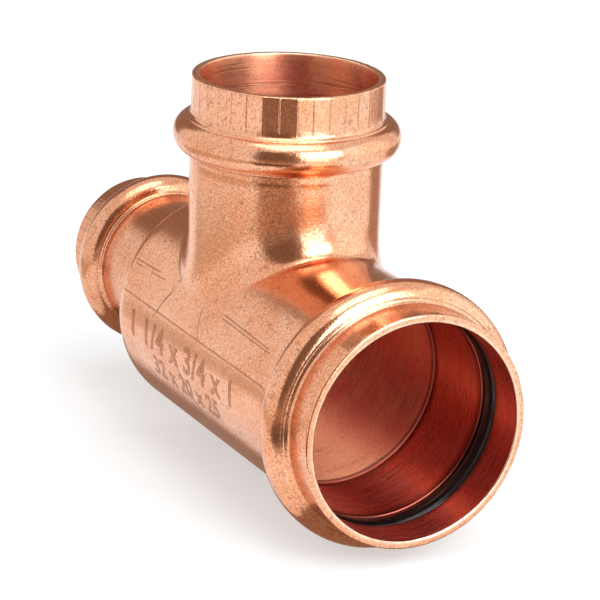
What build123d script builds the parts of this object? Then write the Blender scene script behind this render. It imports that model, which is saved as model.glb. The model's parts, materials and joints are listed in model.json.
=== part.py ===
from build123d import *
from dataclasses import dataclass
import os

# A reducing tee for pressed copper pipe. One hydroformed copper body carries three
# sockets, and each socket holds a rubber sealing ring in the groove inside its bead.
#
# Frame: the origin is on the run's axis, at the stop of the large socket, where the
# end of the large pipe comes to rest. +X points out of the large socket's mouth and
# +Z points the way the branch points. All sizes are in millimetres.

# ---- Pipes that the sockets take: outside diameters of 1-1/4, 3/4 and 1 inch copper tube
LARGE_TUBE_OD = 34.925
SMALL_TUBE_OD = 22.225
BRANCH_TUBE_OD = 28.575

# ---- Insertion depths, from the stop to the mouth
LARGE_DEPTH = 26.4
SMALL_DEPTH = 23.0
BRANCH_DEPTH = 23.0

# ---- Distance from the mouth back to the middle of the bead
LARGE_BEAD_SETBACK = 9.2
SMALL_BEAD_SETBACK = 9.5
BRANCH_BEAD_SETBACK = 9.75

# ---- Walls of the pressed collars
LARGE_WALL = 1.35
SMALL_WALL = 1.2
BRANCH_WALL = 1.25

# ---- Where the sockets stand on the body
LARGE_RUN_ON = 7.4       # run between the branch's waterway and the large stop
REAR_RUN_ON = 11.7       # run between the branch's waterway and the face of the shoulder
NECK_LENGTH = 9.1        # neck between the face of the shoulder and the small stop
BRANCH_RISE = 4.9        # from the crown of the run's waterway up to the branch stop

# ---- Details that the sockets share
TUBE_SLIP = 0.14         # radial room round a pipe in its socket
STOP_HEIGHT = 0.45       # radial height of the ledge that stops the pipe
RIM_ROUND = 0.4          # rounded edges of a mouth
GROOVE_LIP = 0.4         # rounded edges where the ring's groove opens into the bore
BEAD_FRONT_ROOT = 1.0    # blend from the bead to the collar in front of it
BEAD_BACK_ROOT = 0.45    # tighter crease behind the bead

# ---- Walls at the beads, which thin a little as they are pressed out
LARGE_BEAD_WALL = 0.95
SMALL_BEAD_WALL = 1.2
BRANCH_BEAD_WALL = 1.25

# ---- Sealing rings. The section is two half-rounds with a flat band between them.
LARGE_SEAL_ROUND = 3.4   # diameter of the half-rounds, which is the section's height
SMALL_SEAL_ROUND = 3.0
BRANCH_SEAL_ROUND = 3.0
LARGE_SEAL_BAND = 0.6    # width of the flat band
SMALL_SEAL_BAND = 0.2
BRANCH_SEAL_BAND = 0.2
SEAL_PROUD = 0.2         # how far a ring stands into the bore
SEAL_CLEARANCE = 0.05    # room between a ring and its groove

# ---- Blends of the body
SADDLE_ROUND = 4.5       # outside, where the branch meets the run
WATERWAY_ROUND = 4.0     # inside, where the branch's waterway meets the run's
SHOULDER_ROUND = 3.8     # outside edge of the shoulder that steps down to the small run
NECK_ROOT = 2.0          # blend from the shoulder's face to the neck


@dataclass
class Socket:
    """One press socket, drawn along +Z with its stop at the origin."""
    tube_od: float
    depth: float
    bead_setback: float
    wall: float
    bead_wall: float
    seal_round: float
    seal_band: float

    @property
    def bore(self):
        return self.tube_od / 2 + TUBE_SLIP

    @property
    def outer(self):
        return self.bore + self.wall

    @property
    def waterway(self):
        return self.bore - STOP_HEIGHT

    @property
    def seal_ring(self):
        """Radius of the circle that the middle of the ring's section follows."""
        return self.bore - SEAL_PROUD + self.seal_round / 2

    @property
    def groove_round(self):
        return self.seal_round / 2 + SEAL_CLEARANCE

    @property
    def bead_round(self):
        return self.groove_round + self.bead_wall

    @property
    def bead_height(self):
        """Distance of the bead's middle from the stop."""
        return self.depth - self.bead_setback

    def oval(self, radius):
        """The section of the ring, grown to half-rounds of this radius, in the open sketch."""
        with Locations((self.seal_ring, self.bead_height)):
            Rectangle(2 * radius, self.seal_band)
            with Locations((0, self.seal_band / 2), (0, -self.seal_band / 2)):
                Circle(radius)

    def metal(self):
        """Collar and bead, solid right through."""
        with BuildPart() as metal:
            with BuildSketch(Plane.XZ) as outline:
                Rectangle(self.outer, self.depth, align=(Align.MIN, Align.MIN))
                self.oval(self.bead_round)
                half = self.bead_round + self.seal_band / 2
                blend_corner(outline, self.outer, self.bead_height + half, BEAD_FRONT_ROOT)
                blend_corner(outline, self.outer, self.bead_height - half, BEAD_BACK_ROOT)
                blend_corner(outline, self.outer, self.depth, RIM_ROUND)
            revolve(axis=Axis.Z)
        return metal.part

    def room(self):
        """The bore that takes the pipe, its flared mouth and the groove for the ring."""
        flare = self.bore + RIM_ROUND
        half = self.groove_round + self.seal_band / 2
        with BuildPart() as room:
            with BuildSketch(Plane.XZ) as outline:
                Rectangle(self.bore, self.depth, align=(Align.MIN, Align.MIN))
                with Locations((0, self.bead_height)):
                    Rectangle(self.seal_ring, 2 * half, align=(Align.MIN, Align.CENTER))
                self.oval(self.groove_round)
                blend_corner(outline, self.bore, self.bead_height + half, GROOVE_LIP)
                blend_corner(outline, self.bore, self.bead_height - half, GROOVE_LIP)
                with Locations((0, self.depth)):
                    Rectangle(flare, RIM_ROUND, align=(Align.MIN, Align.MAX))
                blend_corner(outline, self.bore, self.depth - RIM_ROUND, RIM_ROUND * 0.95)
            revolve(axis=Axis.Z)
        return room.part

    def seal(self):
        """The sealing ring as it lies in the groove."""
        with BuildPart() as ring:
            with BuildSketch(Plane.XZ):
                self.oval(self.seal_round / 2)
            revolve(axis=Axis.Z)
        return ring.part


def blend_corner(outline, across, along, radius):
    """Round the corner of the outline that is nearest to (across, along)."""
    corner = outline.vertices().sort_by_distance((across, along, 0))[0]
    fillet(corner, radius)


large = Socket(
    LARGE_TUBE_OD,
    LARGE_DEPTH,
    LARGE_BEAD_SETBACK,
    LARGE_WALL,
    LARGE_BEAD_WALL,
    LARGE_SEAL_ROUND,
    LARGE_SEAL_BAND,
)
small = Socket(
    SMALL_TUBE_OD,
    SMALL_DEPTH,
    SMALL_BEAD_SETBACK,
    SMALL_WALL,
    SMALL_BEAD_WALL,
    SMALL_SEAL_ROUND,
    SMALL_SEAL_BAND,
)
branch = Socket(
    BRANCH_TUBE_OD,
    BRANCH_DEPTH,
    BRANCH_BEAD_SETBACK,
    BRANCH_WALL,
    BRANCH_BEAD_WALL,
    BRANCH_SEAL_ROUND,
    BRANCH_SEAL_BAND,
)

# Places along the run. The branch's axis crosses the run's axis at x = crossing.
crossing = -(branch.waterway + LARGE_RUN_ON)
shoulder_face = crossing - branch.waterway - REAR_RUN_ON
small_stop = shoulder_face - NECK_LENGTH
branch_stop = large.waterway + BRANCH_RISE

# Walls of the body between the sockets
body_wall = large.outer - large.waterway
neck_wall = small.outer - small.waterway

# The shoulder's two blends share the step down to the neck.
step = large.outer - small.outer
shoulder_round = min(SHOULDER_ROUND, 0.6 * step)
neck_root = min(NECK_ROOT, 0.35 * step)

# Where each socket sits, with its own +Z pointing out of its mouth
large_place = Plane(origin=(0, 0, 0), z_dir=(1, 0, 0))
small_place = Plane(origin=(small_stop, 0, 0), z_dir=(-1, 0, 0))
branch_place = Plane(origin=(crossing, 0, branch_stop), z_dir=(0, 0, 1))


def stepped_run(face_x, big, little, edge_round, root_round):
    """The run between the two stops, as one turned solid with a shoulder at face_x."""
    with BuildPart() as run:
        with BuildSketch(Plane.XZ) as outline:
            with Locations((face_x, 0)):
                Rectangle(-face_x, big, align=(Align.MIN, Align.MIN))
            with Locations((small_stop, 0)):
                Rectangle(face_x - small_stop, little, align=(Align.MIN, Align.MIN))
            blend_corner(outline, face_x, big, edge_round)
            blend_corner(outline, face_x, little, root_round)
        revolve(axis=Axis.X)
    return run.part


def branch_tube(radius):
    """A solid round bar from the run's axis up to the branch stop."""
    return Pos(crossing, 0, 0) * Cylinder(radius, branch_stop, align=(Align.CENTER, Align.CENTER, Align.MIN))


def blend_saddle(shape, radius):
    """Round the curved edge where the branch and the run cross."""
    flat_kinds = (GeomType.CIRCLE, GeomType.LINE)
    saddle = shape.edges().filter_by(lambda edge: edge.geom_type not in flat_kinds)
    return fillet(saddle, radius)


def outside():
    """The body's outer shape, solid right through."""
    shape = stepped_run(shoulder_face, large.outer, small.outer, shoulder_round, neck_root)
    shape += branch_tube(branch.outer)
    shape += large_place * large.metal()
    shape += small_place * small.metal()
    shape += branch_place * branch.metal()
    return blend_saddle(shape, SADDLE_ROUND)


def inside():
    """Everything that is hollow: the waterway and the three sockets' rooms."""
    inner_face = shoulder_face + body_wall
    waterway = stepped_run(
        inner_face,
        large.waterway,
        small.waterway,
        shoulder_round - body_wall,
        neck_root + neck_wall,
    )
    waterway += branch_tube(branch.waterway)
    waterway = blend_saddle(waterway, WATERWAY_ROUND)
    waterway += large_place * large.room()
    waterway += small_place * small.room()
    waterway += branch_place * branch.room()
    return waterway


def tee_body():
    """The copper body, one piece of formed tube."""
    return outside() - inside()


pieces = {
    "tee_body": tee_body(),
    "large_run_seal": large_place * large.seal(),
    "small_run_seal": small_place * small.seal(),
    "branch_seal": branch_place * branch.seal(),
}

os.makedirs("parts", exist_ok=True)
for name, solid in pieces.items():
    solid.label = name
    export_step(solid, f"parts/{name}.step")
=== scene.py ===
# %% [markdown]
# # A copper tee for pressed pipe joints
# This lesson builds the looks of a reducing tee: one length of copper tube, pushed into a die until
# it has a side branch, with three sockets that each hide a rubber ring. The sizes come from the CAD
# frame, so that the pretty model and the working model stay one thing. We load that frame first.

# %% Load the frame
import json
import math

import bmesh
import bpy
import numpy as np
from mathutils import Matrix, Vector


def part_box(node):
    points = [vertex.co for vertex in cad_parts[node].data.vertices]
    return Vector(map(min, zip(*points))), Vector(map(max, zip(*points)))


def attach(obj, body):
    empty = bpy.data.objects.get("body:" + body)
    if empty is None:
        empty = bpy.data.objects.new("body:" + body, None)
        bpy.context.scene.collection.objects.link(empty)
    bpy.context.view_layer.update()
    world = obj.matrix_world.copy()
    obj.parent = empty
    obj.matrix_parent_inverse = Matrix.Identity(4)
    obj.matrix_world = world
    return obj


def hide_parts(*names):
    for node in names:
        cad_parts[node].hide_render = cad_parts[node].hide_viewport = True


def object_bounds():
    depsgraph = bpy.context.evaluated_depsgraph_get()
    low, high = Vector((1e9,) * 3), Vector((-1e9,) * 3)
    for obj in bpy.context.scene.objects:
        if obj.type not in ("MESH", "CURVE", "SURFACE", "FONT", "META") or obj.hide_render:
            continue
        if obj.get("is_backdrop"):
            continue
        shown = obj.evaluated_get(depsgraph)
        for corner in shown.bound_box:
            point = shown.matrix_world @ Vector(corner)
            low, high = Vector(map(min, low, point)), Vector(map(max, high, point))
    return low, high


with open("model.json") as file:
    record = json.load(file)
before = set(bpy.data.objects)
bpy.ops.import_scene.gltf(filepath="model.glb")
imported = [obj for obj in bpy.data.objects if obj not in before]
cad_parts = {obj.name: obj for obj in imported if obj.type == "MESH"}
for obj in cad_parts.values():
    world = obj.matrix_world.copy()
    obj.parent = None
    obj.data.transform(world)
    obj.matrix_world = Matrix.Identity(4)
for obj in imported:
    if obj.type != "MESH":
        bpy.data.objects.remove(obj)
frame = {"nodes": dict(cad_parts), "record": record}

cad_low, cad_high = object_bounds()
print("nodes in the frame:", sorted(frame["nodes"]))

# %% [markdown]
# Blender counts in metres, but a pipe fitter thinks in millimetres, so every size in this file is in
# millimetres and is turned into metres once, when a mesh is made. The record says where each socket's
# stop is and how wide its bore is. The mouths and the rubber rings are read from the boxes of the CAD
# nodes. Only what the frame can't tell, such as the thickness of the copper, is written here.

# %% Read the sizes of the three sockets
METRE = 0.001
COPPER_WALL = {"large_run": 1.35, "small_run": 1.2, "branch": 1.25}
BEAD_WALL = {"large_run": 0.95, "small_run": 1.2, "branch": 1.25}
LEDGE = 0.45             # how far the ledge that stops the pipe stands in
RING_PROUD = 0.2         # how far a rubber ring stands into the bore
RING_ROOM = 0.05         # room between a rubber ring and its groove


class Socket:
    """Sizes of one socket, in mm, measured along its own axis from the ledge that stops the pipe."""

    def __init__(self, name, axis):
        mount = next(m for m in frame["record"]["mounts"] if m["name"] == name + "_socket")
        body_low, body_high = (np.array(corner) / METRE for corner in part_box("tee_body"))
        ring_low, ring_high = (np.array(corner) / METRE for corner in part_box(name + "_seal"))
        out = int(np.sign(mount["axis"][axis]))
        mouth = body_high[axis] if out > 0 else body_low[axis]
        self.name = name
        self.stop = mount["pos_m"][axis] / METRE
        self.out = out
        self.depth = abs(mouth - self.stop)
        self.bore = mount["dims"]["r_mm"]
        self.wall = COPPER_WALL[name]
        self.collar = self.bore + self.wall
        self.waterway = self.bore - LEDGE
        ring_inner = self.bore - RING_PROUD
        ring_outer = (ring_high[1] - ring_low[1]) / 2
        self.ring_place = abs((ring_high[axis] + ring_low[axis]) / 2 - self.stop)
        self.ring_radius = (ring_outer + ring_inner) / 2
        self.ring_round = (ring_outer - ring_inner) / 2
        self.ring_flat = (ring_high[axis] - ring_low[axis]) / 2 - self.ring_round
        self.groove_round = self.ring_round + RING_ROOM
        self.bead_round = self.groove_round + BEAD_WALL[name]


large = Socket("large_run", 0)
small = Socket("small_run", 0)
branch = Socket("branch", 2)
branch_x = next(m for m in frame["record"]["mounts"] if m["name"] == "branch_socket")["pos_m"][0] / METRE

# %% [markdown]
# The camera stands a little above the fitting and looks at the big mouth from the side. A long lens
# from half a metre away keeps the circles calm, since near parts look hardly larger than far ones. We
# point the camera with a rotation made of its three axes, because a track-to constraint can't give
# the small tilt.

# %% Place the camera
CAMERA_TURN = math.radians(62.92)
CAMERA_RISE = math.radians(17.80)
CAMERA_TILT = math.radians(2.2)
CAMERA_LENS = 194.49
CAMERA_SPOT = Vector((431.84, -228.22, 169.89)) * METRE

back = Vector((
    math.sin(CAMERA_TURN) * math.cos(CAMERA_RISE),
    -math.cos(CAMERA_TURN) * math.cos(CAMERA_RISE),
    math.sin(CAMERA_RISE),
))
level_right = Vector((math.cos(CAMERA_TURN), math.sin(CAMERA_TURN), 0))
level_up = back.cross(level_right)
right = level_right * math.cos(CAMERA_TILT) + level_up * math.sin(CAMERA_TILT)
up = level_up * math.cos(CAMERA_TILT) - level_right * math.sin(CAMERA_TILT)

camera_data = bpy.data.cameras.new("camera")
camera_data.lens = CAMERA_LENS
camera_data.sensor_width = 36
camera_data.clip_start = 0.01
camera = bpy.data.objects.new("camera", camera_data)
turn = Matrix((right, up, back)).transposed()
camera.matrix_world = Matrix.Translation(CAMERA_SPOT) @ turn.to_4x4()
bpy.context.scene.collection.objects.link(camera)
bpy.context.scene.camera = camera
print("camera to origin:", round(CAMERA_SPOT.length, 3), "m")

# %% [markdown]
# Everything round on the fitting is a turned outline: a line in a plane that is swept about an axis.
# We draw such outlines as lists of (along, radius) points, from straight runs and arcs. Blender's Spin
# would do it too, but with plain points we can later bend single rows by hundredths of a millimetre.

# %% Outline helpers
def straight(start, end, step):
    """Points from start to end, about one step apart."""
    start, end = np.array(start, float), np.array(end, float)
    count = max(1, int(round(np.linalg.norm(end - start) / step)))
    return start + (end - start) * np.linspace(0, 1, count + 1)[:, None]


def arc(centre, radius, from_deg, to_deg, steps):
    """Points on an arc; the angle is counted from the along direction towards outward."""
    angle = np.radians(np.linspace(from_deg, to_deg, steps + 1))
    return np.array(centre) + radius * np.stack([np.cos(angle), np.sin(angle)], 1)


def joined(*runs):
    """One outline from several runs, without the doubled points where they meet."""
    points = [runs[0]]
    for run in runs[1:]:
        near = np.linalg.norm(run[0] - points[-1][-1]) < 1e-6
        points.append(run[1:] if near else run)
    return np.concatenate(points)


# %% [markdown]
# A socket's outline starts on the outside, behind the bead. The bead is pressed out from within, so
# its back meets the tube in a crisp crease and its front rolls into the collar more softly. At the
# mouth the sawn edge was brushed round. Inside, the outline passes the groove for the ring and ends at
# the little ledge that stops the pipe.

# %% Draw a socket's outline
BACK_CREASE = 0.4
FRONT_ROLL = 0.9
HEEL_HEIGHT = 0.05       # narrow raised band behind the bead, left by the pressing tool
HEEL_WIDTH = 1.3
BEAD_INSET = 0.015       # keeps the finished bead just inside the CAD one
RIM_ROUND = 0.38
GROOVE_LIP = 0.35
LEDGE_CORNER = 0.15      # hollow corner at the foot of the ledge
LEDGE_ROUND = 0.3
LONG_STEP = 1.2          # spacing of rows on plain tube


def root_arc(socket, level, radius, side, steps):
    """The concave arc between bead and tube; side is 1 in front of the bead and -1 behind it."""
    rise = level + radius - socket.ring_radius
    reach = math.sqrt((socket.bead_round + radius) ** 2 - rise ** 2)
    lean = math.degrees(math.atan2(rise, reach))
    centre = (socket.ring_place + side * (reach + socket.ring_flat), level + radius)
    if side > 0:
        return arc(centre, radius, lean - 180, -90, steps), lean
    return arc(centre, radius, -90, -lean, steps), lean


def oval(socket, radius, from_deg, to_deg, steps):
    """Half a turn round the ring's section, grown to this radius, over its flat band."""
    front = (socket.ring_place + socket.ring_flat, socket.ring_radius)
    rear = (socket.ring_place - socket.ring_flat, socket.ring_radius)
    if from_deg > to_deg:
        return joined(arc(rear, radius, from_deg, 90, steps), arc(front, radius, 90, to_deg, steps))
    return joined(arc(front, radius, from_deg, 90, steps), arc(rear, radius, 90, to_deg, steps))


def outside_outline(socket, start):
    """From start, behind the bead, to the top of the rim."""
    heel = socket.collar + HEEL_HEIGHT
    back_root, back_lean = root_arc(socket, heel, BACK_CREASE, -1, 4)
    front_root, front_lean = root_arc(socket, socket.collar, FRONT_ROLL, 1, 5)
    heel_start = back_root[0][0] - HEEL_WIDTH
    rim_centre = (socket.depth - RIM_ROUND, socket.collar - RIM_ROUND)
    return joined(
        straight((start, socket.collar), (heel_start - 0.25, socket.collar), LONG_STEP),
        np.array([[heel_start - 0.1, socket.collar + 0.02], [heel_start + 0.05, heel - 0.02]]),
        straight((heel_start + 0.2, heel), back_root[0], 0.6),
        back_root,
        oval(socket, socket.bead_round - BEAD_INSET, 180 - back_lean, front_lean, 9),
        front_root,
        straight(front_root[-1], (rim_centre[0], socket.collar), 0.8),
        arc(rim_centre, RIM_ROUND, 90, 0, 4),
    )


def inside_outline(socket):
    """From the top of the rim, past the groove, to the ledge at the bottom of the bore."""
    rim_centre = (socket.depth - RIM_ROUND, socket.bore + RIM_ROUND)
    half = socket.groove_round + socket.ring_flat
    lip_front = (socket.ring_place + half + GROOVE_LIP, socket.bore + GROOVE_LIP)
    lip_rear = (socket.ring_place - half - GROOVE_LIP, socket.bore + GROOVE_LIP)
    foot_start = LEDGE_CORNER + 0.05
    return joined(
        arc(rim_centre, RIM_ROUND, 0, -90, 4),
        straight((rim_centre[0], socket.bore), (lip_front[0], socket.bore), 1.0),
        arc(lip_front, GROOVE_LIP, -90, -180, 4),
        oval(socket, socket.groove_round, 0, 180, 5),
        arc(lip_rear, GROOVE_LIP, 0, -90, 4),
        straight((lip_rear[0], socket.bore), (foot_start, socket.bore), 1.5),
        arc((LEDGE_CORNER, socket.bore - LEDGE_CORNER), LEDGE_CORNER, 90, 180, 3),
        arc((-LEDGE_ROUND, socket.waterway + LEDGE_ROUND), LEDGE_ROUND, 0, -90, 4),
    )


print("rows on the large socket:", len(outside_outline(large, 0)) + len(inside_outline(large)))

# %% [markdown]
# The collars weren't left round. The tool that sized them has jaws, and each jaw left a nearly flat
# strip, ten degrees wide. We bend the outline's rows by a few hundredths of a millimetre, which is
# all that polished copper needs to show it. The rims get small uneven bumps from the saw.

# %% Sweep an outline round its axis, with jaw marks and burrs
RUN_COLUMNS = 216
BRANCH_COLUMNS = 252
JAWS = 36
JAW_SHIFT = -1           # columns by which the branch's strips start before +X
JAW_LEAN = 0.014         # how unevenly the jaws pressed, from one edge of a strip to the other
CUT_BURR = 0.028
dice = np.random.default_rng(7)


def turns(columns):
    """The angle of each column, in radians."""
    return np.arange(columns) * 2 * np.pi / columns


def jaw_marks(columns, radius, share, first):
    """Change of radius at each column that turns a round collar into thirty-six pressed strips."""
    pitch = 2 * np.pi / JAWS
    place = np.roll(turns(columns), first) / pitch + 1e-6
    strip = np.floor(place).astype(int) % JAWS
    within = place % 1 - 0.5
    flat = radius * (np.cos(pitch / 2) / np.cos(within * pitch) - 1)
    lean = dice.normal(0, JAW_LEAN, JAWS)[strip] * within
    return share * flat + lean


def burrs(columns):
    """Small uneven bumps left by the saw, one for each column, with a few deeper nicks."""
    rough = dice.normal(0, 1, columns)
    smooth = (rough + np.roll(rough, 1) + np.roll(rough, 2)) / 3
    nicks = -2.5 * (dice.random(columns) > 0.97)
    return CUT_BURR * (smooth + nicks)


def swept(socket, outline, columns, outside_rows, jaw_share, jaw_first):
    """Distances along and radii of every point when the outline is swept round its axis."""
    along, radius = outline[:, :1], outline[:, 1:]
    collar_start = socket.ring_place + socket.ring_flat + socket.bead_round + FRONT_ROLL
    fade_in = np.clip((along - collar_start) / 0.5, 0, 1)
    fade_out = np.clip((socket.depth - 0.2 - along) / 0.2, 0, 1)
    on_rim = np.clip((along - socket.depth + RIM_ROUND) / RIM_ROUND, 0, 1)
    outside = (np.arange(len(outline)) < outside_rows)[:, None]
    saw = burrs(columns)
    strips = jaw_marks(columns, socket.collar, jaw_share, jaw_first)
    radii = radius + outside * fade_in * fade_out * strips
    radii = radii + on_rim * np.where(outside, saw, -0.6 * saw)
    alongs = along - on_rim * np.abs(np.roll(saw, 5))
    return alongs, radii


# %% [markdown]
# Now the tube itself. The run is a grid of rows along it and columns round it. Where the branch grows
# out of its top, the grid has a window. Rings of points lead from the window's edge to the foot of
# the branch, so the mesh stays all four-sided, which keeps reflections smooth. A boolean would be
# quicker, but it leaves slivers exactly where the copper shines the most.

# %% Lay out the run and the window for the branch
WINDOW_HALF = 51         # columns each side of the top
WINDOW_ROWS = BRANCH_COLUMNS // 2 - 2 * WINDOW_HALF
FRONT_EDGE = -0.8        # where the window ends, along the run
REAR_EDGE = 2 * branch_x - FRONT_EDGE
APRON_RINGS = 9          # rings of points between the foot and the window's edge
window_x = np.linspace(FRONT_EDGE, REAR_EDGE, WINDOW_ROWS + 1)
window_turn = math.radians(360 / RUN_COLUMNS * WINDOW_HALF)


def on_run(x, angle, radius):
    """A point on the run; the angle is counted from the top towards +Y."""
    x, angle, radius = np.broadcast_arrays(x, angle, radius)
    return np.stack([x, radius * np.sin(angle), radius * np.cos(angle)], -1)


def on_branch(height, angle, radius):
    """A point on the branch; the angle is counted from +X towards +Y."""
    height, angle, radius = np.broadcast_arrays(height, angle, radius)
    return np.stack([branch_x + radius * np.cos(angle), radius * np.sin(angle), height], -1)


def window_loop():
    """The window's edge as (x, angle) pairs, in step with the branch's columns from +X towards +Y."""
    sweep = np.linspace(-window_turn, window_turn, 2 * WINDOW_HALF + 1)
    front = np.stack([np.full(len(sweep), FRONT_EDGE), sweep], 1)
    rear = np.stack([np.full(len(sweep), REAR_EDGE), sweep[::-1]], 1)
    left = np.stack([window_x, np.full(len(window_x), window_turn)], 1)
    right_side = np.stack([window_x[::-1], np.full(len(window_x), -window_turn)], 1)
    front_end, front_start = front[WINDOW_HALF:-1], front[:WINDOW_HALF]
    return np.concatenate([front_end, left[:-1], rear[:-1], right_side[:-1], front_start])


print("window:", WINDOW_ROWS, "rows by", 2 * WINDOW_HALF, "columns; loop of", len(window_loop()))

# %% [markdown]
# The foot of the branch isn't a plain fillet. The copper was stretched upwards out of the run, so it
# leaves the branch in a long gentle flare and turns into the run quickly, in a soft crease. A curve
# with three handles does that: one up the branch, one in the corner and one a little way out on the
# run. The flare is longer at the sides, where the two tubes meet almost edge to edge.

# %% Shape the foot of the branch
class Foot:
    """The blend between branch and run, in mm: values at the ends of the run and at its sides."""

    def __init__(self, run_radius, branch_radius, flare, spread, rows):
        self.run_radius = run_radius
        self.branch_radius = branch_radius
        self.flare = flare
        self.spread = spread
        self.rows = rows

    def curve(self, turn):
        """Distances from the branch's axis and heights, from the branch (first row) to the run (last)."""
        side = np.sin(turn) ** 2
        flare = self.flare[0] + (self.flare[1] - self.flare[0]) * side
        spread = self.spread[0] + (self.spread[1] - self.spread[0]) * side
        foot = self.branch_radius + spread
        foot_height = np.sqrt(self.run_radius ** 2 - (foot * np.sin(turn)) ** 2)
        slope = -foot * side / foot_height
        corner = foot_height - slope * spread
        t = np.linspace(0, 1, self.rows)[:, None]
        distance = self.branch_radius + spread * t ** 2
        height = (1 - t) ** 2 * (corner + flare) + 2 * t * (1 - t) * corner + t ** 2 * foot_height
        return distance, height

    def rings(self):
        """Rings of points of the blend, branch first, and then out over the run to the window's edge."""
        turn = turns(BRANCH_COLUMNS)
        distance, height = self.curve(turn)
        blend = on_branch(height, turn, distance)
        x, y = blend[-1, :, 0], blend[-1, :, 1]
        start = np.stack([x, np.arcsin(y / self.run_radius)], 1)
        share = np.linspace(0, 1, APRON_RINGS + 1)[1:, None, None] ** 1.25
        way = start + (window_loop() - start) * share
        apron = on_run(way[..., 0], way[..., 1], self.run_radius)
        return np.concatenate([blend, apron])


outer_foot = Foot(large.collar, branch.collar, (8.0, 7.0), (2.6, 1.2), 14)
inner_foot = Foot(large.waterway, branch.waterway, (3.6, 5.0), (3.0, 2.0), 9)
print("foot tops from", outer_foot.curve(turns(4))[1][0].round(1), "mm")

# %% [markdown]
# The small end is the same tube, squeezed down over a shoulder. Its outline runs from the window's
# rear edge round the shoulder, along the neck, out through the small socket and back inside.

# %% Outlines of the two ends of the run and of the branch
NECK_LENGTH = 9.1        # from the shoulder's face to the small socket's stop
SHOULDER_FACE = small.stop + NECK_LENGTH
SHOULDER_ROUND = 3.8
NECK_ROOT = 2.0
SLEEVE_BELOW_BEAD = 2.8  # how far below its bead the branch's outline starts
BODY_WALL = large.collar - large.waterway
NECK_WALL = small.collar - small.waterway


def shoulder(face, big, little, edge, root):
    """Outline of the step down from radius big to radius little, towards the small end."""
    return joined(
        straight((REAR_EDGE, big), (face + edge, big), LONG_STEP),
        arc((face + edge, big - edge), edge, 90, 180, 8),
        straight((face, big - edge), (face, little + root), LONG_STEP),
        arc((face - root, little + root), root, 0, -90, 6),
    )


def small_end():
    """(x, radius) from the window's rear edge, out round the small socket and back inside."""
    skin = shoulder(SHOULDER_FACE, large.collar, small.collar, SHOULDER_ROUND, NECK_ROOT)
    lining_face = SHOULDER_FACE + BODY_WALL
    lining_edge = SHOULDER_ROUND - BODY_WALL
    lining = shoulder(lining_face, large.waterway, small.waterway, lining_edge, NECK_ROOT + NECK_WALL)
    outside = outside_outline(small, small.stop - skin[-1, 0])
    inside = inside_outline(small)
    for outline in (outside, inside):
        outline[:, 0] = small.stop - outline[:, 0]
    outside = joined(skin, outside)
    return joined(outside, inside, lining[::-1]), len(outside)


def large_end():
    """(x, radius) from the window's front edge, out round the large socket and back inside."""
    outside = outside_outline(large, FRONT_EDGE)
    return joined(outside, inside_outline(large), np.array([[FRONT_EDGE, large.waterway]])), len(outside)


def branch_end():
    """(distance from the stop, radius) of the branch above both feet."""
    start = branch.ring_place - branch.bead_round - SLEEVE_BELOW_BEAD
    outside = outside_outline(branch, start)
    return joined(outside, inside_outline(branch)), len(outside)


print("outline rows:", len(large_end()[0]), len(small_end()[0]), len(branch_end()[0]))

# %% [markdown]
# With all outlines ready, each patch is a grid of points. We lay the patches side by side, let bmesh
# weld the points that fall on each other, and keep four marks on every point: whether it is inside
# the tube, how clearly the jaws marked it, whether it belongs to the branch, and whether it lies in the
# ring's groove or at the ledge, where the bore gets painted shade. The copper's finishes read these
# marks later.

# %% Weld the patches into one copper skin
class Skin:
    """Gathers grids of points and makes one mesh of them."""

    def __init__(self):
        self.points = []
        self.faces = []
        self.marks = []
        self.count = 0

    def patch(self, grid, closed, inside, collar, of_branch, sheltered=0):
        """Add a grid shaped (rows, columns, 3); the marks are one number or one for each row."""
        rows, columns = grid.shape[:2]
        number = np.arange(rows * columns).reshape(rows, columns) + self.count
        near, far = number[:-1], number[1:]
        if closed:
            faces = np.stack([near, np.roll(near, -1, 1), np.roll(far, -1, 1), far], -1)
        else:
            faces = np.stack([near[:, :-1], near[:, 1:], far[:, 1:], far[:, :-1]], -1)
        marks = np.zeros((rows, columns, 4))
        for place, mark in enumerate((inside, collar, of_branch, sheltered)):
            marks[..., place] = np.broadcast_to(mark, (rows,))[:, None]
        self.points.append(grid.reshape(-1, 3))
        self.faces.append(faces.reshape(-1, 4))
        self.marks.append(marks.reshape(-1, 4))
        self.count += rows * columns

    def mesh(self, name):
        """One welded mesh in metres, with the marks stored on its points."""
        made = bpy.data.meshes.new(name)
        points = np.concatenate(self.points) * METRE
        made.from_pydata(points.tolist(), [], np.concatenate(self.faces).tolist())
        marks = np.concatenate(self.marks)
        for place, mark in enumerate(("inside", "collar", "of_branch", "sheltered")):
            made.attributes.new(mark, "FLOAT", "POINT").data.foreach_set("value", marks[:, place])
        work = bmesh.new()
        work.from_mesh(made)
        bmesh.ops.remove_doubles(work, verts=work.verts, dist=2e-6)
        bmesh.ops.recalc_face_normals(work, faces=work.faces)
        depth = work.verts.layers.float["inside"]
        for face in work.faces:
            face.material_index = int(min(vert[depth] for vert in face.verts) > 0.7)
        open_edges = sum(len(edge.link_faces) != 2 for edge in work.edges)
        print(name, "has", len(work.faces), "faces and", open_edges, "open edges")
        work.to_mesh(made)
        work.free()
        made.shade_smooth()
        return made


def collar_rows(socket, outline, outside_rows):
    """1 on the rows of the pressed collar, fading out over the rim, and 0 elsewhere."""
    start = socket.ring_place + socket.ring_flat + socket.bead_round + 0.4
    on_collar = np.clip((outline[:, 0] - start) / 0.8, 0, 1)
    return on_collar * (np.arange(len(outline)) < outside_rows)


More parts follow.
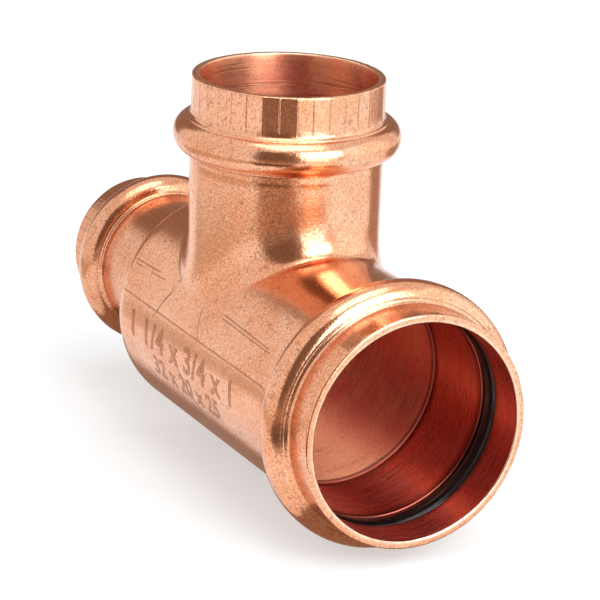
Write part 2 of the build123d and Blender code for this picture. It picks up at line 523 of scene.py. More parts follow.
def recess_shade_rows(socket, outline, outside_rows):
    """1 in the ring's groove and at the ledge, where the bore is darkened with painted shade."""
    from_ring = np.abs(outline[:, 0] - socket.ring_place)
    groove = np.clip((socket.groove_round + socket.ring_flat + 0.8 - from_ring) / 0.4, 0, 1)
    ledge = np.clip((0.6 - np.abs(outline[:, 0])) / 0.3, 0, 1)
    return np.maximum(groove, ledge) * (np.arange(len(outline)) >= outside_rows)


def inside_rows(outline, outside_rows):
    """0 on the outside rows and 1 on the inside ones, with the change in the middle of the rim."""
    return np.clip((np.arange(len(outline)) - outside_rows + 1) / 4, 0, 1)


skin = Skin()
large_outline, large_outside = large_end()
along, radii = swept(large, large_outline, RUN_COLUMNS, large_outside, 0.55, 0)
skin.patch(
    on_run(along, turns(RUN_COLUMNS), radii),
    True,
    inside_rows(large_outline, large_outside),
    0.35 * collar_rows(large, large_outline, large_outside),
    0,
    recess_shade_rows(large, large_outline, large_outside),
)

small_outline, small_outside = small_end()
from_stop = small_outline.copy()
from_stop[:, 0] = small.stop - small_outline[:, 0]
along, radii = swept(small, from_stop, RUN_COLUMNS, small_outside, 0.5, 0)
skin.patch(
    on_run(small.stop - along, turns(RUN_COLUMNS), radii),
    True,
    inside_rows(small_outline, small_outside),
    collar_rows(small, from_stop, small_outside),
    0,
    recess_shade_rows(small, from_stop, small_outside),
)

below = turns(RUN_COLUMNS)[WINDOW_HALF:RUN_COLUMNS - WINDOW_HALF + 1]
skin.patch(on_run(window_x[:, None], below, large.collar), False, 0, 0, 0)
skin.patch(on_run(window_x[:, None], below, large.waterway), False, 1, 0, 0)

branch_outline, branch_outside = branch_end()
along, radii = swept(branch, branch_outline, BRANCH_COLUMNS, branch_outside, 0.85, JAW_SHIFT)
sleeve = on_branch(branch.stop + along, turns(BRANCH_COLUMNS), radii)
outer_rings = outer_foot.rings()
inner_rings = inner_foot.rings()
rise = np.linspace(0, 1, 6)[:, None, None]
lining_rise = np.linspace(0, 1, 3)[:, None, None]
skin.patch(
    sleeve,
    True,
    inside_rows(branch_outline, branch_outside),
    collar_rows(branch, branch_outline, branch_outside),
    1,
    recess_shade_rows(branch, branch_outline, branch_outside),
)
skin.patch(outer_rings[0] + (sleeve[0] - outer_rings[0]) * rise, True, 0, 0, 1)
skin.patch(inner_rings[0] + (sleeve[-1] - inner_rings[0]) * lining_rise, True, 1, 0, 1)
outer_branch = np.clip((outer_foot.rows + 1 - np.arange(len(outer_rings))) / 8, 0, 1)
inner_branch = np.clip((inner_foot.rows + 1 - np.arange(len(inner_rings))) / 5, 0, 1)
skin.patch(outer_rings, True, 0, 0, outer_branch)
skin.patch(inner_rings, True, 1, 0, inner_branch)
copper_body = bpy.data.objects.new("copper_body", skin.mesh("copper_body"))
bpy.context.scene.collection.objects.link(copper_body)
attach(copper_body, "root")
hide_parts("tee_body")

# %% [markdown]
# Each socket hides a ring of black rubber. It is moulded, so it has a fine seam where the two halves
# of the mould met, and it isn't perfectly even. We sweep its section round the axis as we did with
# the copper. A torus primitive would show no seam and would be far too perfect.

# %% Mould the three rubber rings
RING_COLUMNS = 180
RING_WAVE = 0.012        # how far a ring wanders along its groove
SEAM_HEIGHT = 0.03
SEAM_WIDTH = 0.12


def ring_section(socket):
    """The ring's section as (along, radius) points, with the mould seam on its flanks."""
    outer = oval(socket, socket.ring_round, 0, 180, 10)
    inner = outer[::-1] * (1, -1) + (0, 2 * socket.ring_radius)
    section = joined(outer, inner)[:-1]
    out = section - np.array([socket.ring_place, socket.ring_radius])
    length = np.linalg.norm(out, axis=1, keepdims=True)
    seam = np.exp(-(out[:, 1:] / SEAM_WIDTH) ** 2)
    return section - out / length * SEAM_HEIGHT * (1 - seam)


def moulded_ring(socket):
    """A rubber ring in its groove."""
    section = ring_section(socket)
    wander = RING_WAVE * np.sin(turns(RING_COLUMNS) * 5) * np.cos(turns(RING_COLUMNS) * 2)
    along, radii = section[:, :1] + wander, section[:, 1:]
    if socket is branch:
        grid = on_branch(branch.stop + along, turns(RING_COLUMNS), radii)
    else:
        grid = on_run(socket.stop + socket.out * along, turns(RING_COLUMNS), radii)
    rubber_skin = Skin()
    rubber_skin.patch(np.concatenate([grid, grid[:1]]), True, 0, 0, 0)
    name = socket.name + "_ring"
    ring = bpy.data.objects.new(name, rubber_skin.mesh(name))
    bpy.context.scene.collection.objects.link(ring)
    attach(ring, "root")
    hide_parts(socket.name + "_seal")
    return ring


rings = [moulded_ring(socket) for socket in (large, small, branch)]

# %% [markdown]
# Such a fitting carries its sizes on its side, etched in thin brown figures. We write only the plain
# tube sizes. Blender's own font gives flat letters. We cut them into small pieces, because a flat
# letter laid on a round tube would sink into it, and then wrap every point round the run.

# %% Etch the sizes on the side of the run
ETCH_LIFT = 0.02         # how far the figures stand off the copper, so that they never sink into it
PIECE = 0.7              # longest edge allowed in a wrapped figure
FIGURE_SHARE = 0.7       # height of a figure as a share of the font's size
FIGURE_WEIGHT = 0.03     # how much bolder than the plain font


def flat_figures(words, height):
    """A flat mesh of the words, in mm, with its lower left corner at the origin."""
    letters = bpy.data.curves.new("letters", "FONT")
    letters.body = words
    letters.size = height / FIGURE_SHARE
    letters.offset = FIGURE_WEIGHT * letters.size
    letters.space_character = 1.08
    carrier = bpy.data.objects.new("letters", letters)
    made = bpy.data.meshes.new_from_object(carrier)
    bpy.data.objects.remove(carrier)
    bpy.data.curves.remove(letters)
    return made


def cut_small(work, longest):
    """Split every edge that is too long, until none is left."""
    for _ in range(6):
        long_edges = [edge for edge in work.edges if edge.calc_length() > longest]
        if not long_edges:
            break
        bmesh.ops.subdivide_edges(work, edges=long_edges, cuts=1)
        bmesh.ops.triangulate(work, faces=work.faces)


def wrap_on_run(work, x, angle):
    """Lay flat letters on the run: they read along +X and stand towards the top."""
    radius = large.collar + ETCH_LIFT
    for point in work.verts:
        turn = angle + point.co.y / radius
        point.co = Vector(on_run(x + point.co.x, turn, radius)) * METRE


etched = bmesh.new()
rows_of_figures = (("1 1/4 x 3/4 x 1", 4.4, -40.0, -97.0), ("32 x 20 x 25", 3.2, -31.0, -110.0))
for words, height, x, degrees in rows_of_figures:
    line = bmesh.new()
    line.from_mesh(flat_figures(words, height))
    bmesh.ops.triangulate(line, faces=line.faces)
    cut_small(line, PIECE)
    wrap_on_run(line, x, math.radians(degrees))
    part = bpy.data.meshes.new("line")
    line.to_mesh(part)
    line.free()
    etched.from_mesh(part)
    bpy.data.meshes.remove(part)
etched_mesh = bpy.data.meshes.new("etched_sizes")
etched.to_mesh(etched_mesh)
etched.free()
etched_mesh.shade_smooth()
etched_sizes = bpy.data.objects.new("etched_sizes", etched_mesh)
bpy.context.scene.collection.objects.link(etched_sizes)
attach(etched_sizes, "root")
print("etched figures:", len(etched_mesh.polygons), "faces")

# %% [markdown]
# Next come the finishes. A finish is a small web of nodes, and writing one by hand takes many lines.
# A few short helpers add a node and plug it in, so that the recipe for copper reads like a recipe.
# All places are turned into millimetres first, so a noise of scale 3 makes grains of a third of one.

# %% Helpers for mixing a finish
class Finish:
    """A material and short ways to add nodes to it."""

    def __init__(self, name):
        self.material = bpy.data.materials.new(name)
        self.material.use_nodes = True
        self.tree = self.material.node_tree
        self.shader = self.tree.nodes["Principled BSDF"]

    def plug(self, value, socket):
        """Link a node's output into a socket, or set a plain value on it."""
        if isinstance(value, bpy.types.NodeSocket):
            self.tree.links.new(value, socket)
        else:
            socket.default_value = value

    def sums(self, operation, *values):
        """A Math node."""
        node = self.tree.nodes.new("ShaderNodeMath")
        node.operation = operation
        for value, socket in zip(values, node.inputs):
            self.plug(value, socket)
        return node.outputs[0]

    def ramp(self, value, low, high, at_low=0.0, at_high=1.0):
        """A smooth change from at_low to at_high while the value goes from low to high."""
        node = self.tree.nodes.new("ShaderNodeMapRange")
        node.interpolation_type = "SMOOTHSTEP"
        for number, socket in zip((value, low, high, at_low, at_high), node.inputs):
            self.plug(number, socket)
        return node.outputs[0]

    def blend(self, share, first, second):
        """A colour between two colours."""
        node = self.tree.nodes.new("ShaderNodeMix")
        node.data_type = "RGBA"
        for value, place in ((share, 0), (first, 6), (second, 7)):
            self.plug(value, node.inputs[place])
        return node.outputs[2]

    def between(self, share, first, second):
        """A number between two numbers."""
        node = self.tree.nodes.new("ShaderNodeMix")
        for value, place in ((share, 0), (first, 2), (second, 3)):
            self.plug(value, node.inputs[place])
        return node.outputs[0]

    def mark(self, name):
        """A mark that we stored on the mesh."""
        node = self.tree.nodes.new("ShaderNodeAttribute")
        node.attribute_name = name
        return node.outputs["Fac"]

    def place(self):
        """The place on the piece, in mm, as three numbers."""
        where = self.tree.nodes.new("ShaderNodeTexCoord")
        split = self.tree.nodes.new("ShaderNodeSeparateXYZ")
        self.plug(where.outputs["Object"], split.inputs[0])
        return [self.sums("MULTIPLY", number, 1 / METRE) for number in split.outputs]

    def vector(self, *numbers):
        """Three numbers as one vector."""
        node = self.tree.nodes.new("ShaderNodeCombineXYZ")
        for number, socket in zip(numbers, node.inputs):
            self.plug(number, socket)
        return node.outputs[0]

    def stretched(self, place, scales):
        """The place with each of its numbers scaled, to draw a pattern out one way."""
        return self.vector(*(self.sums("MULTIPLY", number, scale) for number, scale in zip(place, scales)))

    def noise(self, vector, scale, detail=2.0, rough=0.5):
        """Cloudy noise between 0 and 1."""
        node = self.tree.nodes.new("ShaderNodeTexNoise")
        self.plug(vector, node.inputs["Vector"])
        self.plug(scale, node.inputs["Scale"])
        self.plug(detail, node.inputs["Detail"])
        self.plug(rough, node.inputs["Roughness"])
        return node.outputs["Fac"]

    def relief(self, height):
        """Raise the surface by a height in mm."""
        node = self.tree.nodes.new("ShaderNodeBump")
        self.plug(METRE, node.inputs["Distance"])
        self.plug(height, node.inputs["Height"])
        self.plug(node.outputs["Normal"], self.shader.inputs["Normal"])


# %% [markdown]
# Fresh pressed copper is salmon pink where it shines and nearly cream where an edge was rubbed. We
# first work out where on the tube a point is: along it, and at which angle round it. On the branch
# these two are counted about the branch's own axis.

# %% Where we are on the tube
class TubeFinish(Finish):
    """A finish for the copper, which knows its way along and round the tube."""

    def __init__(self, name):
        super().__init__(name)
        self.x, y, z = self.place()
        self.inside = self.mark("inside")
        self.of_branch = self.mark("of_branch")
        out_of_branch = self.sums("SUBTRACT", self.x, branch_x)
        along = self.between(self.of_branch, self.x, z)
        third = self.between(self.of_branch, z, out_of_branch)
        self.tube = (along, y, third)
        self.angle = self.sums("DEGREES", self.sums("ARCTAN2", y, third))
        self.everywhere = self.vector(self.x, y, z)

    def band(self, value, low, high, soft):
        """1 between low and high, with soft ends."""
        rise = self.ramp(value, low - soft, low + soft)
        fall = self.ramp(value, high - soft, high + soft, 1.0, 0.0)
        return self.sums("MULTIPLY", rise, fall)

    def heights(self, *pairs):
        """The sum of patterns, each times its height in mm."""
        total = 0.0
        for pattern, height in pairs:
            total = self.sums("ADD", total, self.sums("MULTIPLY", pattern, height))
        return total


copper = TubeFinish("pressed_copper")

# %% [markdown]
# The outside carries several marks, each with its own cause. Rolling left a fine grain and long draw
# lines. The jaws left thirty-six thin ridges round each collar. The two halves of the press tool left
# a parting line along each side of the run. We work each one out as a height in millimetres, and most
# also tint the copper a little: dirt darkens the scratches, and painted shade darkens the ridges and
# the parting line.

# %% Outside: grain, draw lines, ridges between the jaws and the parting line
grain = copper.noise(copper.everywhere, 2.8, 3.0, 0.65)
peel = copper.noise(copper.everywhere, 0.6, 2.0)
clouds = copper.noise(copper.everywhere, 0.11, 3.0, 0.55)
draw_lines = copper.noise(copper.stretched(copper.tube, (0.05, 1.3, 1.3)), 1.0, 4.0, 0.6)

# The jaws' ridges are counted round the collar, and off_ridge is how many degrees away the nearest is.
collar = copper.mark("collar")
first_ridge = copper.sums("MULTIPLY", copper.of_branch, JAW_SHIFT * 360 / BRANCH_COLUMNS)
jaw_place = copper.sums("DIVIDE", copper.sums("SUBTRACT", copper.angle, first_ridge), 360 / JAWS)
off_middle = copper.sums("SUBTRACT", copper.sums("FRACT", copper.sums("ADD", jaw_place, 40.5)), 0.5)
off_ridge = copper.sums("MULTIPLY", copper.sums("ABSOLUTE", off_middle), 360 / JAWS)
ridge = copper.sums("MULTIPLY", copper.ramp(off_ridge, 0.12, 0.6, 1.0, 0.0), collar)

PARTING_ANGLE = 77.0     # degrees from the top to the parting line
PARTING_ENDS = (-43.5, 10.5)
outside_only = copper.ramp(copper.inside, 0.0, 0.1, 1.0, 0.0)
outer_run = copper.sums("MULTIPLY", outside_only, copper.ramp(copper.of_branch, 0.0, 0.2, 1.0, 0.0))
side_angle = copper.sums("ABSOLUTE", copper.angle)
on_body = copper.sums("MULTIPLY", outer_run, copper.band(copper.x, *PARTING_ENDS, 0.4))
past_parting = copper.ramp(side_angle, PARTING_ANGLE - 0.5, PARTING_ANGLE + 0.5)
below_parting = copper.sums("MULTIPLY", past_parting, on_body)
at_parting = copper.band(side_angle, PARTING_ANGLE - 0.4, PARTING_ANGLE + 0.4, 0.35)
parting = copper.sums("MULTIPLY", at_parting, on_body)

# %% [markdown]
# A scratch is a straight line on the unrolled tube. For each one we measure how far a point is from
# the line, in millimetres, and cut a thin groove there. Writing them down one by one, instead of
# leaving them to chance, puts them where tools, hands and pallets really touch.

# %% Outside: single scratches
unrolled = copper.sums("MULTIPLY", copper.angle, math.radians(1) * large.collar)


def scratch(start, end, width):
    """1 on a line between two points given as (x, degrees from the top), 0 away from it."""
    start = np.array([start[0], math.radians(start[1]) * large.collar])
    end = np.array([end[0], math.radians(end[1]) * large.collar])
    length = float(np.linalg.norm(end - start))
    way_x, way_side = (float(part) for part in (end - start) / length)
    to_x = copper.sums("SUBTRACT", copper.x, float(start[0]))
    to_side = copper.sums("SUBTRACT", unrolled, float(start[1]))
    ahead = copper.heights((to_x, way_x), (to_side, way_side))
    aside = copper.heights((to_side, way_x), (to_x, -way_side))
    near = copper.ramp(copper.sums("ABSOLUTE", aside), width * 0.3, width, 1.0, 0.0)
    return copper.sums("MULTIPLY", near, copper.band(ahead, 0.0, length, 0.4))


scratches = [
    scratch((-43.0, -60.0), (-33.5, -59.0), 0.2),
    scratch((-42.5, -62.0), (-39.5, -61.8), 0.18),
    scratch((-36.5, -61.6), (-31.0, -61.0), 0.18),
    scratch((-9.0, -58.5), (7.6, -60.0), 0.2),
    scratch((-9.0, -60.5), (8.4, -61.5), 0.18),
    scratch((-26.6, -61.0), (-31.1, -81.5), 0.24),
    scratch((-16.1, -62.0), (-14.0, -79.0), 0.2),
    scratch((-22.5, -84.0), (-20.5, -98.0), 0.3),
    scratch((-20.5, -98.0), (-16.5, -110.0), 0.3),
    scratch((-16.5, -110.0), (-9.0, -122.0), 0.3),
    scratch((-30.0, 30.0), (-44.0, 46.0), 0.2),
    scratch((-4.0, 95.0), (9.0, 104.0), 0.22),
    scratch((-36.0, 120.0), (-18.0, 138.0), 0.2),
    scratch((-12.0, 170.0), (4.0, 150.0), 0.22),
]
scratched = scratches[0]
for one in scratches[1:]:
    scratched = copper.sums("MAXIMUM", scratched, one)
scratched = copper.sums("MULTIPLY", scratched, outer_run)

# %% [markdown]
# Now the colours of the outside. The clean salmon is mixed with a warmer and a paler tone in soft
# clouds, flecked dark by the grain and bright with painted glints, darkened by dirt in the scratches
# and by painted shade along the parting line and the jaws' ridges, and tinted a little darker over the
# small socket. The rims are cream, because they rub on everything.

# %% Outside: colour, shine and relief
SALMON = (0.85, 0.385, 0.215, 1)
WARM = (0.81, 0.325, 0.160, 1)
PALE = (0.88, 0.44, 0.270, 1)
CREAM_WEAR_AND_GLINT = (0.94, 0.66, 0.47, 1)
TARNISH_AND_PAINTED_SHADE = (0.33, 0.13, 0.075, 1)

outer_tone = copper.blend(copper.ramp(clouds, 0.38, 0.62), PALE, WARM)
outer_tone = copper.blend(0.4, outer_tone, SALMON)
flecks = copper.ramp(grain, 0.51, 0.63)
# Painted glints: bright cream flecks where the grain would sparkle.
painted_glints = copper.ramp(grain, 0.47, 0.35)
outer_tone = copper.blend(copper.sums("MULTIPLY", flecks, 0.42), outer_tone, TARNISH_AND_PAINTED_SHADE)
outer_tone = copper.blend(copper.sums("MULTIPLY", painted_glints, 0.5), outer_tone, CREAM_WEAR_AND_GLINT)
# The small socket and its neck are tinted a little darker than the body.
far_end = copper.ramp(copper.x, small.stop + 2.0, small.stop + 5.0, 0.13, 0.0)
outer_tone = copper.blend(far_end, outer_tone, TARNISH_AND_PAINTED_SHADE)
spots = copper.ramp(copper.noise(copper.everywhere, 0.8, 3.0, 0.7), 0.58, 0.68)
outer_tone = copper.blend(copper.sums("MULTIPLY", spots, 0.5), outer_tone, TARNISH_AND_PAINTED_SHADE)
# Dirt darkens the scratches; painted shade darkens the parting line and the jaws' ridges.
scratch_dirt_and_painted_shade = copper.sums("MULTIPLY", copper.sums("MAXIMUM", scratched, parting), 0.75)
scratch_dirt_and_painted_shade = copper.sums("MAXIMUM", scratch_dirt_and_painted_shade, copper.sums("MULTIPLY", ridge, 0.45))
outer_tone = copper.blend(scratch_dirt_and_painted_shade, outer_tone, TARNISH_AND_PAINTED_SHADE)
rim = copper.ramp(copper.inside, 0.05, 0.4)
rubbed_clean = copper.ramp(copper.noise(copper.everywhere, 1.1, 3.0, 0.6), 0.40, 0.56, 0.35, 0.85)
outer_tone = copper.blend(copper.sums("MULTIPLY", rim, rubbed_clean), outer_tone, CREAM_WEAR_AND_GLINT)
copper.plug(outer_tone, copper.shader.inputs["Base Color"])
copper.shader.inputs["Metallic"].default_value = 1.0

dull = copper.ramp(clouds, 0.35, 0.65, 0.09, 0.16)
dull = copper.sums("ADD", dull, copper.heights((flecks, 0.12), (scratched, 0.1), (spots, 0.1)))
copper.plug(dull, copper.shader.inputs["Roughness"])
copper.relief(copper.heights(
    (grain, 0.020),
    (peel, 0.016),
    (draw_lines, 0.010),
    (ridge, 0.03),
    (below_parting, 0.04),
    (parting, -0.02),
    (scratched, -0.025),
))
copper_body.data.materials.append(copper.material)
print("pressed copper:", len(copper.tree.nodes), "nodes")

# %% [markdown]
# The inside was reamed to size and never polished. The reamer's fine rings scatter light along the
# tube but hardly round it, which is what Blender calls anisotropy: the tangent is the tube's own
# direction. Light that has bounced between these walls turns deep red all by itself, so the metal's
# own colour need only be a little redder than outside, where handling rubs the oxide away.

# %% Inside: the reamed bore
reamed = TubeFinish("reamed_copper")
DEEP_RED = (0.74, 0.155, 0.125, 1)
BRIGHT_RED = (0.88, 0.36, 0.20, 1)
PAINTED_LIGHT_COPPER = (0.96, 0.44, 0.25, 1)
GROOVE_SHADE_COLOUR = (0.22, 0.045, 0.03, 1)
rings_round = reamed.noise(reamed.stretched(reamed.tube, (2.6, 0.10, 0.10)), 1.0, 4.0, 0.65)
bore_grain = reamed.noise(reamed.everywhere, 2.0, 3.0, 0.65)
stains = reamed.noise(reamed.everywhere, 0.16, 4.0, 0.6)
gouges = reamed.noise(reamed.stretched(reamed.tube, (1.5, 0.045, 0.045)), 1.0, 3.0, 0.6)
gouge_here = reamed.sums("MAXIMUM", reamed.ramp(stains, 0.42, 0.56), reamed.of_branch)
gouged = reamed.sums("MULTIPLY", reamed.ramp(gouges, 0.58, 0.64), gouge_here)
sheltered = reamed.mark("sheltered")
off_branch = reamed.sums("SUBTRACT", 1.0, reamed.of_branch)
waterway = reamed.sums("MULTIPLY", reamed.band(reamed.x, small.stop, 0.0, 0.2), off_branch)
open_part = reamed.sums("MAXIMUM", waterway, reamed.sums("MULTIPLY", reamed.of_branch, 0.5))
# Painted light: the waterway, and more so the branch's bore, take a brighter red for the light that comes
# in through the openings.
painted_light_share = reamed.heights((waterway, 0.45), (reamed.of_branch, 1.2))
redness = reamed.ramp(stains, 0.36, 0.62, 0.4, 1.0)
redness = reamed.sums("MULTIPLY", redness, reamed.sums("ADD", painted_light_share, 0.15))
inner_tone = reamed.blend(redness, DEEP_RED, BRIGHT_RED)
# Painted light: a pool of light on the bottom of the waterway, where light through the branch opening
# falls, streaked by the reamer's rings.
lit_low_side = reamed.ramp(reamed.sums("ABSOLUTE", reamed.angle), 128.0, 166.0)
lit_streaks = reamed.ramp(rings_round, 0.30, 0.55, 0.65, 1.0)
painted_light_patch = reamed.sums("MULTIPLY", reamed.sums("MULTIPLY", lit_low_side, waterway), lit_streaks)
inner_tone = reamed.blend(painted_light_patch, inner_tone, PAINTED_LIGHT_COPPER)
dirt = reamed.sums("MULTIPLY", reamed.ramp(rings_round, 0.5, 0.7), 0.25)
dirt = reamed.sums("MAXIMUM", dirt, reamed.sums("MULTIPLY", reamed.ramp(bore_grain, 0.52, 0.66), 0.45))
dirt = reamed.sums("MAXIMUM", dirt, reamed.sums("MULTIPLY", gouged, 0.6))
inner_tone = reamed.blend(dirt, inner_tone, TARNISH_AND_PAINTED_SHADE)
# Painted shade in the ring's groove and at the ledge, whose lips would otherwise catch the light.
inner_tone = reamed.blend(reamed.sums("MULTIPLY", sheltered, 0.9), inner_tone, GROOVE_SHADE_COLOUR)
bore_rim = reamed.ramp(reamed.inside, 0.8, 1.0, 1.0, 0.0)
inner_tone = reamed.blend(reamed.sums("MULTIPLY", bore_rim, 0.7), inner_tone, CREAM_WEAR_AND_GLINT)
reamed.plug(inner_tone, reamed.shader.inputs["Base Color"])
rough = reamed.ramp(rings_round, 0.35, 0.65, 0.24, 0.32)
rough = reamed.sums("ADD", rough, reamed.heights((open_part, 0.24), (painted_light_patch, 0.12)))
reamed.plug(rough, reamed.shader.inputs["Roughness"])
reamed.shader.inputs["Metallic"].default_value = 1.0
reamed.shader.inputs["Anisotropic"].default_value = 0.75
reamed.plug(reamed.vector(off_branch, 0.0, reamed.of_branch), reamed.shader.inputs["Tangent"])
reamed.relief(reamed.heights((rings_round, 0.014), (bore_grain, 0.008), (gouged, -0.02)))
copper_body.data.materials.append(reamed.material)
print("reamed copper:", len(reamed.tree.nodes), "nodes")

# %% [markdown]
# The etched figures are the same copper with a brown film that the etching left. The film is thin and
# patchy, so a noise lets the metal show through it here and there.

# %% Finish of the etched figures
THIN_FILM = (0.60, 0.25, 0.13, 1)
THICK_FILM = (0.42, 0.15, 0.065, 1)

etch = Finish("etched_copper")
etch_place = etch.vector(*etch.place())
patchy = etch.noise(etch_place, 2.2, 3.0, 0.7)
film = etch.ramp(patchy, 0.38, 0.62)
etch.plug(etch.blend(film, THIN_FILM, THICK_FILM), etch.shader.inputs["Base Color"])
etch.plug(etch.ramp(patchy, 0.3, 0.7, 0.28, 0.45), etch.shader.inputs["Roughness"])
etch.shader.inputs["Metallic"].default_value = 1.0
etch.relief(etch.sums("MULTIPLY", patchy, 0.012))
etched_sizes.data.materials.append(etch.material)

# %% [markdown]
# The rings are black rubber with a thin film of grease, which gives a soft grey shine. The rubber
# itself is never quite smooth: it has a fine leathery grain from the mould, and a little dust.

# %% Finish of the rubber
BLACK = (0.004, 0.004, 0.004, 1)
WORN_BLACK = (0.008, 0.0075, 0.007, 1)
DUST = (0.12, 0.11, 0.10, 1)

rubber = Finish("greased_rubber")
rubber_place = rubber.vector(*rubber.place())
leather = rubber.noise(rubber_place, 4.0, 3.0, 0.6)
smears = rubber.noise(rubber_place, 0.35, 3.0, 0.6)
dust = rubber.ramp(rubber.noise(rubber_place, 2.6, 4.0, 0.8), 0.66, 0.8)
black = rubber.blend(rubber.ramp(smears, 0.3, 0.7), BLACK, WORN_BLACK)
black = rubber.blend(rubber.sums("MULTIPLY", dust, 0.1), black, DUST)
rubber.plug(black, rubber.shader.inputs["Base Color"])
rubber.plug(rubber.ramp(smears, 0.35, 0.65, 0.14, 0.24), rubber.shader.inputs["Roughness"])
rubber.shader.inputs["Specular IOR Level"].default_value = 0.4
rubber.relief(rubber.sums("MULTIPLY", leather, 0.006))
for ring in rings:
    ring.data.materials.append(rubber.material)

# %% [markdown]
# The studio is a white tent over a plain pale floor. Copper shows nothing but its surroundings, so
# the tent alone would leave it flat. Real tents have a slot for the camera, a darker back, and lamps
# behind the cloth, and it is these that draw the bright and dark bands on the beads. We rebuild them
# with two soft lamps and with cards that only reflections can see. Each is placed by its direction as
# seen from the fitting, in degrees aside of the camera and up from level. The floor glows a little by
# itself, as a sheet lit from below does, and that keeps the shadow faint.

# %% Floor and tent
CENTRE = Vector((branch_x, 0, 8.0)) * METRE
CAMERA_AZIMUTH = math.atan2(back.y, back.x)
FLOOR_REACH = 4.0        # metres from the middle of the floor to each side
ground = cad_low[2]


def towards(aside, up_by, distance):
    """A point seen from the fitting in this direction, this many mm away."""
    turn_by, lift = CAMERA_AZIMUTH + math.radians(aside), math.radians(up_by)
    way = Vector((math.cos(turn_by) * math.cos(lift), math.sin(turn_by) * math.cos(lift), math.sin(lift)))
    return CENTRE + way * distance * METRE


def staged(name, corners, finish):
    """A flat sheet that belongs to the studio."""
    sheet = bpy.data.meshes.new(name)
    sheet.from_pydata([tuple(corner) for corner in corners], [], [(0, 1, 2, 3)])
    sheet.materials.append(finish)
    made = bpy.data.objects.new(name, sheet)
    bpy.context.scene.collection.objects.link(made)
    made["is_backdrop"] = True
    return made


floor_finish = Finish("pale_floor")
fibres = floor_finish.noise(floor_finish.vector(*floor_finish.place()), 0.15, 4.0)
pale = floor_finish.blend(fibres, (0.42, 0.42, 0.42, 1), (0.45, 0.45, 0.45, 1))
floor_finish.plug(pale, floor_finish.shader.inputs["Base Color"])
floor_finish.shader.inputs["Roughness"].default_value = 0.9
floor_finish.shader.inputs["Specular IOR Level"].default_value = 0.1
floor_finish.shader.inputs["Emission Color"].default_value = (1, 1, 1, 1)
floor_finish.shader.inputs["Emission Strength"].default_value = 0.5
quarters = ((-1, -1), (1, -1), (1, 1), (-1, 1))
floor_corners = [(FLOOR_REACH * across, FLOOR_REACH * side, ground) for across, side in quarters]
staged("floor", floor_corners, floor_finish.material)

tent = bpy.data.worlds.new("tent")
tent.use_nodes = True
tent.node_tree.nodes["Background"].inputs["Color"].default_value = (1, 0.995, 0.985, 1)
tent.node_tree.nodes["Background"].inputs["Strength"].default_value = 1.0
bpy.context.scene.world = tent
bpy.context.scene.view_settings.view_transform = "Standard"

# %% [markdown]
# A card is a flat sheet that glows evenly. We hide it from the camera and from the floor, so that
# only a reflecting surface can find it. Dim warm cards make the dark bands, and bright cool ones make
# the cream side. A few of them stand upright and the others lie on the floor. In front of the camera
# the floor has two dark cards with a paler one, the table's edge, between them.

# %% Cards that only reflections see
WARM_SHADE = (1.0, 0.70, 0.53, 1)
WARM_CLOTH = (1.0, 0.90, 0.79, 1)
COOL_CLOTH = (0.80, 0.95, 1.0, 1)


def card_finish(name, tint, brightness):
    """A card that glows evenly; the tent is about 1."""
    made = bpy.data.materials.new(name)
    made.use_nodes = True
    shader = made.node_tree.nodes["Principled BSDF"]
    shader.inputs["Base Color"].default_value = (0, 0, 0, 1)
    shader.inputs["Specular IOR Level"].default_value = 0
    shader.inputs["Emission Color"].default_value = tint
    shader.inputs["Emission Strength"].default_value = brightness
    return made


def for_reflections(made):
    """Hide a card from the camera and from the floor."""
    made.visible_camera = False
    made.visible_diffuse = False
    made.visible_shadow = False


def card(name, aside, up_by, distance, tint, brightness):
    """An upright card between two sideways and two upward angles."""
    low_left, low_right = towards(aside[0], up_by[0], distance), towards(aside[1], up_by[0], distance)
    high_right, high_left = towards(aside[1], up_by[1], distance), towards(aside[0], up_by[1], distance)
    corners = (low_left, low_right, high_right, high_left)
    for_reflections(staged(name, corners, card_finish(name, tint, brightness)))


def floor_card(name, aside, reach, lift, tint, brightness):
    """A card lying on the floor, between two sideways angles and two distances."""
    near, far = reach
    corners = [towards(aside[0], 0, near), towards(aside[1], 0, near)]
    corners += [towards(aside[1], 0, far), towards(aside[0], 0, far)]
    for corner in corners:
        corner.z = ground + lift * METRE
    for_reflections(staged(name, corners, card_finish(name, tint, brightness)))


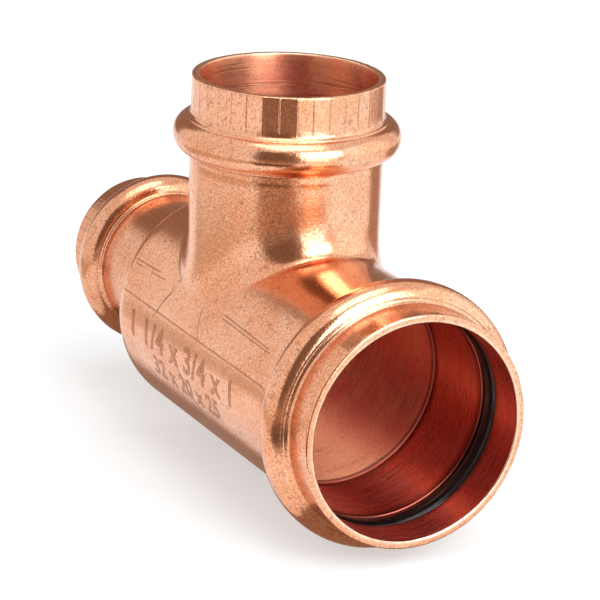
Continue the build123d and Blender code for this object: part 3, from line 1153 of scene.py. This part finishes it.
card("camera_slot", (-30, 16), (-4, 46), 330, WARM_SHADE, 0.23)
floor_card("camera_slot_floor", (-30, 16), (206, 345), 0.9, WARM_SHADE, 0.25)
floor_card("table_edge", (-30, 14), (150, 206), 0.6, WARM_SHADE, 0.80)
floor_card("camera_slot_near", (-33, 8), (84, 150), 0.9, WARM_SHADE, 0.16)
floor_card("floor_left", (-75, -29), (90, 190), 0.6, WARM_CLOTH, 0.80)
floor_card("floor_far_left", (-125, -75), (90, 190), 0.6, WARM_CLOTH, 0.76)
card("tent_back", (146, 225), (-2, 37), 700, WARM_SHADE, 0.33)
floor_card("tent_back_right", (118, 150), (110, 300), 0.6, WARM_SHADE, 0.5)
card("below_lamp", (17, 46), (-3, 15), 540, COOL_CLOTH, 3.5)
card("tent_right", (62, 120), (-2, 44), 650, COOL_CLOTH, 1.7)
floor_card("floor_right", (40, 110), (90, 420), 0.6, COOL_CLOTH, 1.5)

under = [(-84, -18), (28, -18), (28, 22), (-84, 22)]
under = [Vector((across * METRE, side * METRE, ground + 0.3 * METRE)) for across, side in under]
for_reflections(staged("shade_under", under, card_finish("shade_under", WARM_SHADE, 0.35)))

# %% [markdown]
# Two square lamps do the real lighting. One hangs overhead and gives the soft shadow. The other stands
# to the right of the camera and puts the white window on each bead and at the foot of the branch.

# %% Two soft lamps
LAMP_TINT = (0.86, 0.96, 1.0)


def lamp(name, place, size, brightness):
    """A square soft lamp that faces the fitting; brightness is how it looks, the tent being about 1."""
    light = bpy.data.lights.new(name, "AREA")
    light.size = size * METRE
    light.energy = brightness * math.pi * (size * METRE) ** 2
    light.color = LAMP_TINT
    made = bpy.data.objects.new(name, light)
    made.location = place
    made.rotation_euler = (place - CENTRE).to_track_quat("Z", "Y").to_euler()
    bpy.context.scene.collection.objects.link(made)


lamp("lamp_overhead", towards(20, 80, 700), 460, 2.6)
lamp("lamp_right", towards(36, 31, 520), 330, 7.0)

# %% [markdown]
# Last, we compare the box of the finished model with the box of the CAD model. Looks may never change
# a size, so the two boxes are written down side by side.

# %% Write the sizes and finish
seen_low, seen_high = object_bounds()
for axis, letter in enumerate("xyz"):
    low_gap = (seen_low[axis] - cad_low[axis]) / METRE
    high_gap = (seen_high[axis] - cad_high[axis]) / METRE
    print(letter, "visual minus CAD, mm:", round(low_gap, 3), round(high_gap, 3))
